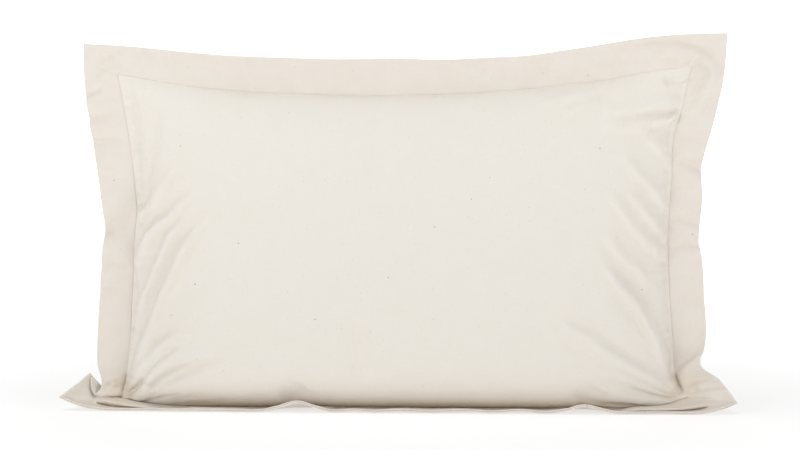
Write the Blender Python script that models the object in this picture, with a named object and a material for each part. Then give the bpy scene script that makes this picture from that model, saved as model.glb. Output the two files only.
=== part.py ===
"""Flanged pillowcase, filled by its pillow and standing on its lower long edge.

The case is two cotton panels sewn together. A line of topstitching, set in from the
edge, parts the pocket that holds the pillow from a flat border of doubled cloth, the
flange. Upright, the filled pocket stands on a flat patch of its own weight, its lower
flange is turned forward under it, and the lower corners of the flange splay.

Axes: X along the long side, -Y the front, Z up. Every table below is in millimetres.
"""
import math

import bmesh
import bpy
from mathutils import Vector
from mathutils.bvhtree import BVHTree

MM = 0.001
FLANGE_THICKNESS = 2.0
SEAM_THICKNESS = 3.0
PIECE_GAP = 0.8
CLEARANCE = 1.2
COLUMNS = 68
ROWS = 34
FLANGE_STRIPS = 4
LONG_STATIONS = 54
SHORT_STATIONS = 24
# At each corner a run of the outer edge fans out from a short run of the seam:
# (stations, run of seam, run of edge). The low left corner is curled.
SQUARE_CORNER = (9, 10, 50)
CURLED_CORNER = (34, 22, 120)

# The topstitch line, which bounds the pocket. Its sides are drawn in by the filling,
# so the corners stand proud. Each point is (x, y, z).
SEAM_BOTTOM = [
    (-380, -36, 20), (-352, -40, 9), (-322, -42, 3), (-280, -42, 1), (-120, -42, 1),
    (60, -42, 1), (290, -42, 1), (335, -43, 3), (366, -45, 8), (393, -46, 17),
]
SEAM_RIGHT = [
    (393, -46, 17), (382, -36, 34), (376, -26, 66), (375, -18, 106), (372, -12, 147),
    (370, -8, 188), (369, -4, 229), (371, -2, 277), (374, 0, 311), (375, 1, 352),
    (378, 2, 377), (387, 3, 404), (395, 5, 441), (402, 6, 467),
]
SEAM_TOP = [
    (-391, 8, 457), (-277, 10, 438), (-138, 12, 429), (0, 12, 427), (139, 12, 433),
    (277, 10, 447), (345, 8, 459), (402, 6, 467),
]
SEAM_LEFT = [
    (-380, -36, 20), (-374, -24, 46), (-371, -16, 89), (-369, -10, 144), (-367, -6, 197),
    (-366, -4, 234), (-363, -2, 265), (-364, -2, 283), (-369, 0, 331), (-376, 2, 380),
    (-382, 4, 414), (-391, 8, 457),
]

# The outer edge of the flange, from tip to tip.
EDGE_BOTTOM = [
    (-458, -74, 17), (-447, -80, 13), (-430, -85, 7), (-413, -88, 3), (-390, -89, 1),
    (-340, -90, 1), (-250, -91, 1), (-184, -92, 1), (-160, -92, 6), (-134, -92, 14),
    (-112, -92, 8), (-88, -92, 1), (-60, -92, 2.4), (-30, -92, 1), (5, -93, 2.4),
    (45, -93, 1), (92, -93, 2.6), (130, -93, 1), (166, -93, 3), (200, -94, 1),
    (226, -94, 4), (251, -94, 11), (272, -94, 6), (294, -94, 1), (350, -94, 1),
    (404, -94, 1), (421, -93, 4), (438, -88, 8), (456, -76, 14),
]
EDGE_RIGHT = [
    (456, -76, 14), (446, -62, 28), (433, -50, 44), (418, -38, 53), (412, -29, 61),
    (417, -20, 76), (421, -14, 106), (419, -8, 147), (416, -4, 199), (411, -4, 229),
    (413, -2, 256), (416, 2, 284), (415, 2, 325), (420, 0, 352), (428, 0, 380),
    (440, 2, 428), (446, 4, 462), (450, 8, 512),
]
EDGE_TOP = [
    (-439, 12, 499), (-374, 10, 495), (-305, 14, 488), (-235, 10, 482), (-152, 16, 479),
    (-82, 12, 477), (0, 16, 478), (56, 12, 476), (125, 16, 479), (180, 12, 482),
    (222, 14, 488), (276, 10, 496), (331, 12, 505), (386, 8, 510), (450, 8, 512),
]
EDGE_LEFT = [
    (-458, -74, 17), (-436, -55, 34), (-423, -39, 45), (-420.5, -43, 38), (-418, -47, 31),
    (-415, -51, 24), (-411.5, -52, 20), (-408.5, -50, 24), (-410, -43, 31), (-415, -30, 41),
    (-420, -14, 55), (-417, -12, 103), (-415, -8, 144), (-412, -4, 197), (-410, 0, 234),
    (-412, 2, 276), (-419, 4, 324), (-426, 6, 366), (-434, 8, 419), (-438, 11, 460),
    (-439, 12, 499),
]
# How the curled corner's cloth leaves the straight line from seam to edge, half way
# across: (run of edge from the tip, move along y, move along z).
CURL_BENDS = [
    (0, 0, 0), (30, 2, -6), (52, 4, -12), (64, -2, -5), (82, -8, -2), (100, -7, 0), (135, 0, 0),
]
NO_BEND = Vector((0, 0, 0))
CURL_REACH = 3
# Share of the cloth's thickness at each point from seam to edge, pressed thin in the curl.
EVEN_CLOTH = (1, 1, 1, 1, 1)
CURL_PRESSED = (0.5, 0.3, 0.5, 0.8, 1)

# The pocket's middle section, from the bottom seam to the top one: (y, z). The front
# sags over the turned-in flange, and the back has the patch that the pillow stands on.
SECTION_FRONT = [
    (-42, 1), (-58, 3.2), (-72, 6), (-81, 14), (-86, 32), (-89, 70), (-90, 118),
    (-87, 176), (-80, 235), (-69, 294), (-53, 348), (-34, 389), (-12, 416), (12, 427),
]
SECTION_BACK = [
    (-42, 1), (-20, 0), (8, 0), (34, 0), (50, 8), (59, 30), (64, 72), (66, 124),
    (64, 182), (59, 240), (51, 298), (41, 350), (30, 392), (21, 415), (12, 427),
]
LOWER_FLANGE_TOP = 40
SIDE_FULLNESS = 3.2
SIDE_ROUNDNESS = 0.62
FOLD_FADE = 3

# Soft creases of the filled front, seen face on: (height, half width, [(x, z), ...]).
# A positive height is a ridge, a negative one a trough.
FRONT_FOLDS = [
    (4.0, 9, [(-348, 261), (-327, 290), (-300, 314)]),
    (2.5, 7, [(-294, 262), (-283, 279)]),
    (5.0, 11, [(-356, 149), (-335, 205), (-307, 250)]),
    (4.0, 10, [(-345, 98), (-326, 136), (-299, 206), (-270, 251)]),
    (4.0, 9, [(-363, 54), (-349, 86), (-335, 110)]),
    (6.0, 11, [(-373, 11), (-348, 24), (-323, 48), (-316, 55)]),
    (-6.0, 9, [(-360, 38), (-346, 42)]),
    (3.5, 9, [(337, 353), (366, 307)]),
    (4.0, 10, [(321, 324), (362, 280)]),
    (3.0, 8, [(303, 270), (314, 252)]),
    (5.0, 10, [(293, 393), (349, 404), (387, 404)]),
    (-4.0, 9, [(330, 385), (378, 386)]),
    (4.0, 10, [(297, 217), (324, 196), (359, 207)]),
    (6.0, 12, [(299, 194), (334, 139), (355, 97), (368, 59)]),
    (6.0, 11, [(289, 95), (330, 53), (365, 33), (389, 16)]),
    (-5.0, 9, [(372, 62), (374, 44)]),
    (2.0, 9, [(198, 418), (247, 429)]),
    (2.0, 8, [(229, 407), (267, 418)]),
    (-4.0, 13, [(-141, 10), (-136, 26)]),
    (-4.0, 13, [(252, 10), (262, 26)]),
]


class SmoothCurve:
    """A curve that runs smoothly through its points and is read by share of its length."""

    def __init__(self, points):
        self.points = [Vector(point) for point in points]
        self.lengths = [0.0]
        for here, there in zip(self.points, self.points[1:]):
            self.lengths.append(self.lengths[-1] + (there - here).length)
        self.length = self.lengths[-1]
        last = len(points) - 1
        self.slopes = []
        for index in range(len(points)):
            before = max(index - 1, 0)
            after = min(index + 1, last)
            run = self.lengths[after] - self.lengths[before]
            self.slopes.append((self.points[after] - self.points[before]) / run)

    def at(self, share):
        """The point at a share of the length, from 0 to 1."""
        place = min(max(share, 0.0), 1.0) * self.length
        span = 0
        while span < len(self.points) - 2 and place > self.lengths[span + 1]:
            span += 1
        step = self.lengths[span + 1] - self.lengths[span]
        t = (place - self.lengths[span]) / step
        start = self.points[span] * (2 * t**3 - 3 * t**2 + 1)
        start += self.slopes[span] * step * (t**3 - 2 * t**2 + t)
        end = self.points[span + 1] * (3 * t**2 - 2 * t**3)
        end += self.slopes[span + 1] * step * (t**3 - t**2)
        return start + end


def eased(steps):
    """Shares from 0 to 1 that lie closer together near both ends."""
    even = [step / steps for step in range(steps + 1)]
    return [0.5 * share + 0.25 * (1 - math.cos(math.pi * share)) for share in even]


def side_stations(seam_points, edge_points, middle_steps, first, last):
    """Along one side: (point on the seam, point on the edge, bend between them) by station."""
    seam = SmoothCurve(seam_points)
    edge = SmoothCurve(edge_points)
    first_steps, first_seam, first_edge = first
    last_steps, last_seam, last_edge = last
    runs = [
        (first_steps, 0, first_seam, 0, first_edge),
        (middle_steps, first_seam, seam.length - last_seam, first_edge, edge.length - last_edge),
        (last_steps, seam.length - last_seam, seam.length, edge.length - last_edge, edge.length),
    ]
    stations = []
    for steps, seam_start, seam_end, edge_start, edge_end in runs:
        for step in range(steps):
            along_seam = seam_start + (seam_end - seam_start) * step / steps
            along_edge = edge_start + (edge_end - edge_start) * step / steps
            bend = curl_bend(along_edge) if first is CURLED_CORNER else NO_BEND
            stations.append((seam.at(along_seam / seam.length), edge.at(along_edge / edge.length), bend))
    stations.append((seam.at(1), edge.at(1), NO_BEND))
    return stations


def curl_bend(along_edge):
    """Bend of the curled corner's cloth at a run of edge from its tip."""
    for (start, *bend), (end, *next_bend) in zip(CURL_BENDS, CURL_BENDS[1:]):
        if start <= along_edge < end:
            share = (along_edge - start) / (end - start)
            blend = share * share * (3 - 2 * share)
            return Vector((0, *bend)).lerp(Vector((0, *next_bend)), blend)
    return NO_BEND


def ring_stations():
    """The stations of all four sides, once round the flange from its low left corner."""
    square = SQUARE_CORNER
    bottom = side_stations(SEAM_BOTTOM, EDGE_BOTTOM, LONG_STATIONS, square, square)
    right = side_stations(SEAM_RIGHT, EDGE_RIGHT, SHORT_STATIONS, square, square)
    top = side_stations(SEAM_TOP, EDGE_TOP, LONG_STATIONS, square, square)
    left = side_stations(SEAM_LEFT, EDGE_LEFT, SHORT_STATIONS, CURLED_CORNER, square)
    return bottom[:-1] + right[:-1] + top[:0:-1] + left[:0:-1]


def flange_layers(stations):
    """The flange's mid surface as rows of points, and the normal at each point."""
    count = len(stations)
    rows = []
    for seam_point, edge_point, bend in stations:
        inner = seam_point + (edge_point - seam_point).normalized() * PIECE_GAP
        row = []
        for strip in range(FLANGE_STRIPS + 1):
            share = strip / FLANGE_STRIPS
            row.append(inner.lerp(edge_point, share) + bend * (4 * share * (1 - share)))
        rows.append(row)
    settle_curl(rows)
    normals = []
    for index in range(count):
        row_normals = []
        for k in range(FLANGE_STRIPS + 1):
            along = rows[(index + 1) % count][k] - rows[index - 1][k]
            across = rows[index][min(max(k, 1) + (k > 1), FLANGE_STRIPS)] - rows[index][max(k - 1, 0)]
            row_normals.append(across.cross(along).normalized())
        normals.append(row_normals)
    return rows, normals


def settle_curl(rows):
    """Let the curl die away beside the seam: even out its first row of points there."""
    count = len(rows)
    curl = range(count - CURLED_CORNER[0] - CURL_REACH, count)
    evened = {}
    for index in curl:
        near = [rows[(index + k) % count][1] for k in range(-CURL_REACH, CURL_REACH + 1)]
        evened[index] = sum(near, Vector((0, 0, 0))) / len(near)
    for index, point in evened.items():
        rows[index][1] = point


def flange_mesh(rows, normals):
    """Vertices and faces of the doubled cloth round the pocket, in millimetres."""
    count = len(rows)
    width = FLANGE_STRIPS + 1
    vertices = []
    for facing in (1, -1):
        for index in range(count):
            pressed = CURL_PRESSED if index >= count - CURLED_CORNER[0] else EVEN_CLOTH
            for point, normal, share in zip(rows[index], normals[index], pressed):
                moved = point + normal * (facing * share * FLANGE_THICKNESS / 2)
                vertices.append(Vector((moved.x, moved.y, max(moved.z, 0.0))))
    layer = count * width
    faces = []
    for index in range(count):
        following = (index + 1) % count
        a = index * width
        b = following * width
        for k in range(FLANGE_STRIPS):
            faces.append((a + k, b + k, b + k + 1, a + k + 1))
            faces.append((layer + a + k, layer + a + k + 1, layer + b + k + 1, layer + b + k))
        faces.append((a, layer + a, layer + b, b))
        faces.append((a + width - 1, b + width - 1, layer + b + width - 1, layer + a + width - 1))
    return vertices, faces


def fold_height(x, z):
    """Height of the hand-placed folds at a point of the front."""
    total = 0.0
    for height, half_width, path in FRONT_FOLDS:
        nearest = min(
            distance_to_run(x, z, start, end, half_width) for start, end in zip(path, path[1:])
        )
        total += height * math.exp(-nearest * nearest)
    return total


def distance_to_run(x, z, start, end, half_width):
    """Distance to a straight run in half widths, where the run's ends fade gently."""
    run_x = end[0] - start[0]
    run_z = end[1] - start[1]
    share = ((x - start[0]) * run_x + (z - start[1]) * run_z) / (run_x**2 + run_z**2)
    share = min(max(share, 0.0), 1.0)
    gap = math.hypot(x - start[0] - share * run_x, z - start[1] - share * run_z)
    return gap / half_width


def pocket_mesh(flange_vertices, flange_faces, stations, normals):
    """Vertices and faces of the filled pocket, resting on the flange and the floor."""
    bottom = SmoothCurve(SEAM_BOTTOM)
    right = SmoothCurve(SEAM_RIGHT)
    top = SmoothCurve(SEAM_TOP)
    left = SmoothCurve(SEAM_LEFT)
    front = SmoothCurve([(0, y, z) for y, z in SECTION_FRONT])
    back = SmoothCurve([(0, y, z) for y, z in SECTION_BACK])
    cloth_below = BVHTree.FromPolygons(flange_vertices, flange_faces)
    vertices = []
    for facing, section in ((1, front), (-1, back)):
        for row, v in enumerate(eased(ROWS)):
            bulge = section.at(v) - seam_patch(0.5, v, bottom, right, top, left)
            bulge.x = 0
            for column, u in enumerate(eased(COLUMNS)):
                crown = max(1 - abs(2 * u - 1) ** SIDE_FULLNESS, 0.0) ** SIDE_ROUNDNESS
                point = seam_patch(u, v, bottom, right, top, left) + bulge * crown
                if column in (0, COLUMNS) or row in (0, ROWS):
                    normal = nearest_normal(point, stations, normals)
                    point += normal * (facing * SEAM_THICKNESS / 2)
                elif facing > 0:
                    from_rim = math.sin(math.pi * u) * math.sin(math.pi * v)
                    point.y -= fold_height(point.x, point.z) * min(1.0, FOLD_FADE * from_rim)
                    point.z = max(point.z, height_of(cloth_below, point) + CLEARANCE)
                point.z = max(point.z, 0.0)
                vertices.append(point)
    return vertices, pocket_faces()


def seam_patch(u, v, bottom, right, top, left):
    """The surface spanned by the topstitch line, which lies inside the filling."""
    low = bottom.at(u).lerp(top.at(u), v)
    sides = left.at(v).lerp(right.at(v), u)
    corners = bottom.at(0).lerp(bottom.at(1), u).lerp(top.at(0).lerp(top.at(1), u), v)
    return low + sides - corners


def nearest_normal(point, stations, normals):
    """Normal of the flange's cloth beside a point of the seam, blended by nearness."""
    ranked = sorted(range(len(stations)), key=lambda index: (stations[index][0] - point).length)
    first, second = ranked[:2]
    near = (stations[first][0] - point).length
    far = (stations[second][0] - point).length
    return normals[first][0].lerp(normals[second][0], near / max(near + far, 1e-6)).normalized()


def height_of(cloth, point):
    """Height of the turned-in lower flange under a point, or below the floor for none."""
    above = Vector((point.x, point.y, LOWER_FLANGE_TOP))
    hit = cloth.ray_cast(above, Vector((0, 0, -1)))[0]
    if hit is None or point.z > LOWER_FLANGE_TOP:
        return -CLEARANCE
    return hit.z


def pocket_faces():
    """Faces of the two sides of the pocket and of the thin rim that joins them."""
    width = COLUMNS + 1
    layer = width * (ROWS + 1)
    faces = []
    for row in range(ROWS):
        for column in range(COLUMNS):
            a = row * width + column
            faces.append((a, a + 1, a + width + 1, a + width))
            faces.append((layer + a, layer + a + width, layer + a + width + 1, layer + a + 1))
    for column in range(COLUMNS):
        top = ROWS * width + column
        faces.append((column, layer + column, layer + column + 1, column + 1))
        faces.append((top, top + 1, layer + top + 1, layer + top))
    for row in range(ROWS):
        a = row * width
        b = a + width
        faces.append((a, b, layer + b, layer + a))
        a += COLUMNS
        b += COLUMNS
        faces.append((a, layer + a, layer + b, b))
    return faces


def cotton(name, colour):
    """Plain unbleached cotton, as a material of its own for one piece."""
    material = bpy.data.materials.new(name)
    material.use_nodes = True
    shader = material.node_tree.nodes["Principled BSDF"]
    shader.inputs["Base Color"].default_value = (*colour, 1.0)
    shader.inputs["Roughness"].default_value = 0.9
    shader.inputs["Metallic"].default_value = 0.0
    material.diffuse_color = (*colour, 1.0)
    return material


def add_piece(name, vertices, faces, shift, material):
    """Make one closed object from millimetre points and shade it smooth."""
    mesh = bpy.data.meshes.new(name)
    mesh.from_pydata([(point + shift) * MM for point in vertices], [], faces)
    shape = bmesh.new()
    shape.from_mesh(mesh)
    bmesh.ops.triangulate(shape, faces=shape.faces[:])
    bmesh.ops.recalc_face_normals(shape, faces=shape.faces[:])
    shape.to_mesh(mesh)
    shape.free()
    mesh.shade_smooth()
    mesh.materials.append(material)
    piece = bpy.data.objects.new(name, mesh)
    bpy.context.scene.collection.objects.link(piece)
    return piece


def centring_shift(*point_lists):
    """Move that puts the middle of the footprint at the origin and the foot on the floor."""
    points = [point for points in point_lists for point in points]
    low = Vector([min(point[axis] for point in points) for axis in range(3)])
    high = Vector([max(point[axis] for point in points) for axis in range(3)])
    return Vector((-(low.x + high.x) / 2, -(low.y + high.y) / 2, -low.z))


for leftover in list(bpy.data.objects):
    bpy.data.objects.remove(leftover, do_unlink=True)

ring = ring_stations()
flange_rows, flange_normals = flange_layers(ring)
flange_points, flange_quads = flange_mesh(flange_rows, flange_normals)
pocket_points, pocket_quads = pocket_mesh(flange_points, flange_quads, ring, flange_normals)
footprint_shift = centring_shift(flange_points, pocket_points)
flange_cotton = cotton("flange cotton", (0.80, 0.74, 0.66))
pocket_cotton = cotton("pocket cotton", (0.84, 0.78, 0.70))
add_piece("flange", flange_points, flange_quads, footprint_shift, flange_cotton)
add_piece("filled_pocket", pocket_points, pocket_quads, footprint_shift, pocket_cotton)
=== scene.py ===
import math

import bpy
import numpy as np
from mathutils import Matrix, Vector
from mathutils.bvhtree import BVHTree


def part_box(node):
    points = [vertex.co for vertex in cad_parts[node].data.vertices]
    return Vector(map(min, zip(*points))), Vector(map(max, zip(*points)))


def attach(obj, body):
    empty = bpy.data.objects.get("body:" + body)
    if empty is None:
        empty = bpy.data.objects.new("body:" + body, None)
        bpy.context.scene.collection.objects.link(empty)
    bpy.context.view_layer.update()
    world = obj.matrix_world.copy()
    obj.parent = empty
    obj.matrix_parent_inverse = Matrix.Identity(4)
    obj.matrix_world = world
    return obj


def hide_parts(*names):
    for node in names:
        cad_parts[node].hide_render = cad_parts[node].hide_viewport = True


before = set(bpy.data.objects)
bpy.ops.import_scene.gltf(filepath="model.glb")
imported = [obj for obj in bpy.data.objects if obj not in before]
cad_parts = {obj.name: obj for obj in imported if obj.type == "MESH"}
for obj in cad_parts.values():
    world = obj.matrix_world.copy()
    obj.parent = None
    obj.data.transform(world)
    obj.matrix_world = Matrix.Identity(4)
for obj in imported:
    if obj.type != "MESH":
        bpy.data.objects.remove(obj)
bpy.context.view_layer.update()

# ---------------------------------------------------------------------------------------
# The topstitch line
# One row of lockstitch, 50 mm in from the edge, closes the pocket, which is cut 800 mm by
# 500 mm, and parts it from the flange. The filling draws its sides in between its corners.
# ---------------------------------------------------------------------------------------
MM = 0.001
POCKET_WIDTH = 800
POCKET_HEIGHT = 500

# Points (x, y, z) in millimetres, as all tables of this file: x to the right, y back and
# z up, seen from the front.
SEAM_BOTTOM = [
    (-379, -41, 12), (-352, -42, 7), (-322, -42, 3), (-280, -42, 1), (-120, -42, 1),
    (60, -42, 1), (290, -42, 1), (335, -43, 3), (366, -45, 8), (393, -46, 17),
]
SEAM_RIGHT = [
    (393, -46, 17), (382, -28, 35), (377, -14, 62), (375, -13, 106), (372, -12, 147),
    (370, -8, 188), (369, -4, 229), (371, -2, 277), (374, 0, 311), (375, 1, 352),
    (378, 2, 377), (387, 3, 404), (395, 5, 441), (402, 6, 467),
]
SEAM_TOP = [
    (-391, 8, 457), (-277, 10, 438), (-138, 12, 429), (0, 12, 427), (139, 12, 433),
    (277, 10, 447), (345, 8, 459), (402, 6, 467),
]
SEAM_LEFT = [
    (-379, -41, 12), (-375, -26, 42), (-371, -16, 89), (-369, -10, 144), (-367, -6, 197),
    (-366, -4, 234), (-363, -2, 265), (-364, -2, 283), (-369, 0, 331), (-376, 2, 380),
    (-382, 4, 414), (-391, 8, 457),
]


class SmoothCurve:
    """A curve that runs smoothly through its points and is read by share of its length."""

    def __init__(self, points):
        self.points = np.array(points, float)
        steps = np.linalg.norm(np.diff(self.points, axis=0), axis=1)
        self.lengths = np.concatenate([[0.0], np.cumsum(steps)])
        self.length = self.lengths[-1]
        after = np.minimum(np.arange(len(points)) + 1, len(points) - 1)
        before = np.maximum(np.arange(len(points)) - 1, 0)
        runs = self.lengths[after] - self.lengths[before]
        self.slopes = (self.points[after] - self.points[before]) / runs[:, None]

    def at(self, share):
        """Points at shares of the length, from 0 to 1."""
        place = np.clip(np.asarray(share, float), 0, 1) * self.length
        span = np.clip(np.searchsorted(self.lengths, place, side="right") - 1, 0, len(self.points) - 2)
        step = self.lengths[span + 1] - self.lengths[span]
        t = ((place - self.lengths[span]) / step)[..., None]
        step = step[..., None]
        return (
            self.points[span] * (2 * t**3 - 3 * t**2 + 1)
            + self.slopes[span] * step * (t**3 - 2 * t**2 + t)
            + self.points[span + 1] * (3 * t**2 - 2 * t**3)
            + self.slopes[span + 1] * step * (t**3 - t**2)
        )


seam_bottom = SmoothCurve(SEAM_BOTTOM)
seam_right = SmoothCurve(SEAM_RIGHT)
seam_top = SmoothCurve(SEAM_TOP)
seam_left = SmoothCurve(SEAM_LEFT)

# ---------------------------------------------------------------------------------------
# The flange
# The border of both panels beyond the topstitch line: two layers of cotton, turned in at
# the outer edge and pressed. Its lower strip is turned forward under the pocket, with two
# humps where it buckles, a curl at the low left corner and a splayed corner at the right.
# ---------------------------------------------------------------------------------------
EDGE_BOTTOM = [
    (-458, -74, 17), (-447, -80, 13), (-430, -85, 7), (-413, -88, 3), (-390, -89, 1),
    (-340, -90, 1), (-250, -91, 1), (-184, -92, 1), (-160, -92, 6), (-134, -92, 14),
    (-112, -92, 8), (-88, -92, 1), (-60, -92, 2.4), (-30, -92, 1), (5, -93, 2.4),
    (45, -93, 1), (92, -93, 2.6), (130, -93, 1), (166, -93, 3), (200, -94, 1),
    (226, -94, 4), (251, -94, 11), (272, -94, 6), (294, -94, 1), (350, -94, 1),
    (404, -94, 1), (421, -93, 4), (438, -88, 8), (456, -76, 14),
]
EDGE_RIGHT = [
    (456, -76, 14), (446, -62, 28), (433, -50, 44), (418, -38, 53), (412, -29, 61),
    (417, -20, 76), (421, -14, 106), (419, -8, 147), (416, -4, 199), (411, -4, 229),
    (413, -2, 256), (416, 2, 284), (415, 2, 325), (420, 0, 352), (428, 0, 380),
    (440, 2, 428), (446, 4, 462), (450, 8, 512),
]
EDGE_TOP = [
    (-439, 12, 499), (-374, 10, 495), (-305, 14, 488), (-235, 10, 482), (-152, 16, 479),
    (-82, 12, 477), (0, 16, 478), (56, 12, 476), (125, 16, 479), (180, 12, 482),
    (222, 14, 488), (276, 10, 496), (331, 12, 505), (386, 8, 510), (450, 8, 512),
]
EDGE_LEFT = [
    (-458, -74, 17), (-436, -55, 34), (-423, -39, 45), (-421, -43, 38), (-420, -47, 31),
    (-417, -51, 24), (-412, -53, 19), (-407, -50, 24), (-406, -43, 31), (-410, -30, 41),
    (-417, -14, 55), (-417, -12, 103), (-415, -8, 144), (-412, -4, 197), (-410, 0, 234),
    (-412, 2, 276), (-419, 4, 324), (-426, 6, 366), (-434, 8, 419), (-438, 11, 460),
    (-439, 12, 499),
]
# How the curled corner's cloth leaves the straight line from seam to edge, half way
# across: (run of edge from the tip, move along y, move along z).
CURL_BENDS = [
    (0, 0, 0), (40, 9, -8), (70, 10, -10), (92, 0, -6), (110, -5, -3), (140, -4, 0), (175, 0, 0),
]
# At each corner a run of the outer edge fans out from a short run of the seam:
# (run of seam, run of edge). The curl turns over within CURL_TURN of the tip.
SQUARE_CORNER = (10, 50)
CURLED_CORNER = (46, 150)
CURL_TURN = (4, 88)
# The fan's ends are evened out over this many steps to each side.
EVENED_STEPS = 6
CURL_EVENED_STEPS = 3
# Where the curl ends, across and up, so that no crease is laid over it.
CURL_END_ACROSS = (-400, -350)
CURL_END_UP = (55, 90)
# Distance of the stations round the flange, and number of strips from seam to edge.
FLANGE_STEP = 2.5
FLANGE_STRIPS = 27
FLANGE_WIDTH = 50
# Half of the doubled cloth's thickness. Within SEAM_PRESSED of the seam it is pressed thin.
FLANGE_HALF = 0.9
SEAM_HALF = 0.45
SEAM_PRESSED = 2.0
# Section of the turned-in outer edge, in half thicknesses: (out from the edge, up).
EDGE_LIP = [
    (0.0, 1.0), (0.45, 0.86), (0.62, 0.55), (0.45, 0.2), (-0.9, 0.0),
    (0.45, -0.2), (0.62, -0.55), (0.45, -0.86), (0.0, -1.0),
]
# The turned-in edge is thicker over EDGE_REACH, and more so on the floor, where it is
# raised by EDGE_CLEAR and by what its half thickness has over THIN_HALF. Each pair of
# levels is where that starts and stops to fade.
EDGE_HALF = 1.1
LOWER_EDGE_HALF = 1.9
EDGE_REACH = 5
THIN_HALF = 1.0
EDGE_CLEAR = 1.2
EDGE_CLEAR_LEVELS = (4, 12)
ON_FLOOR_LEVELS = (14, 40)
# Low pleats of the lower flange where it lies on the floor, seen from above: (height,
# half width left of the path, right of it, path of (x, y)).
FLOOR_FOLDS = [
    (2.0, 7, 6, [(-300, -72), (-240, -80), (-190, -78)]),
    (1.6, 7, 6, [(-40, -80), (40, -76), (120, -80)]),
]
# Places where it is folded back under itself: (from x, to x, the fold's distance from the
# seam at either end, reach, the layer's height at either end, half width). They start and
# stop over TUCK_END, and the layers part over TUCK_OFF_SEAM from the seam.
FLOOR_TUCKS = [
    (-424, -318, 27, 38, 9, 7.0, 1.5, 6),
    (296, 432, 36, 33, 9, 4.0, 2.0, 5),
]
TUCK_END = 28
TUCK_OFF_SEAM = 9
# The cloth counts as lying where it faces up this much and is as low as this.
LYING_SLOPE = (0.35, 0.7)
LYING_LEVELS = (22, 40)
# At the low left corner the upright side's foot bulges over the strip on the floor.
FOOT_LEVEL = 14
FOOT_HALF = 3.5
FOOT_REACH = 8
FOOT_STARTS = (-413, -400)
FOOT_ENDS = (-384, -378)
FOOT_BEHIND = -66
# Beside the curl's tip, between seam and edge, the cloth sags.
CORNER_SAG = 5
SAG_REACH = 34
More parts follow.
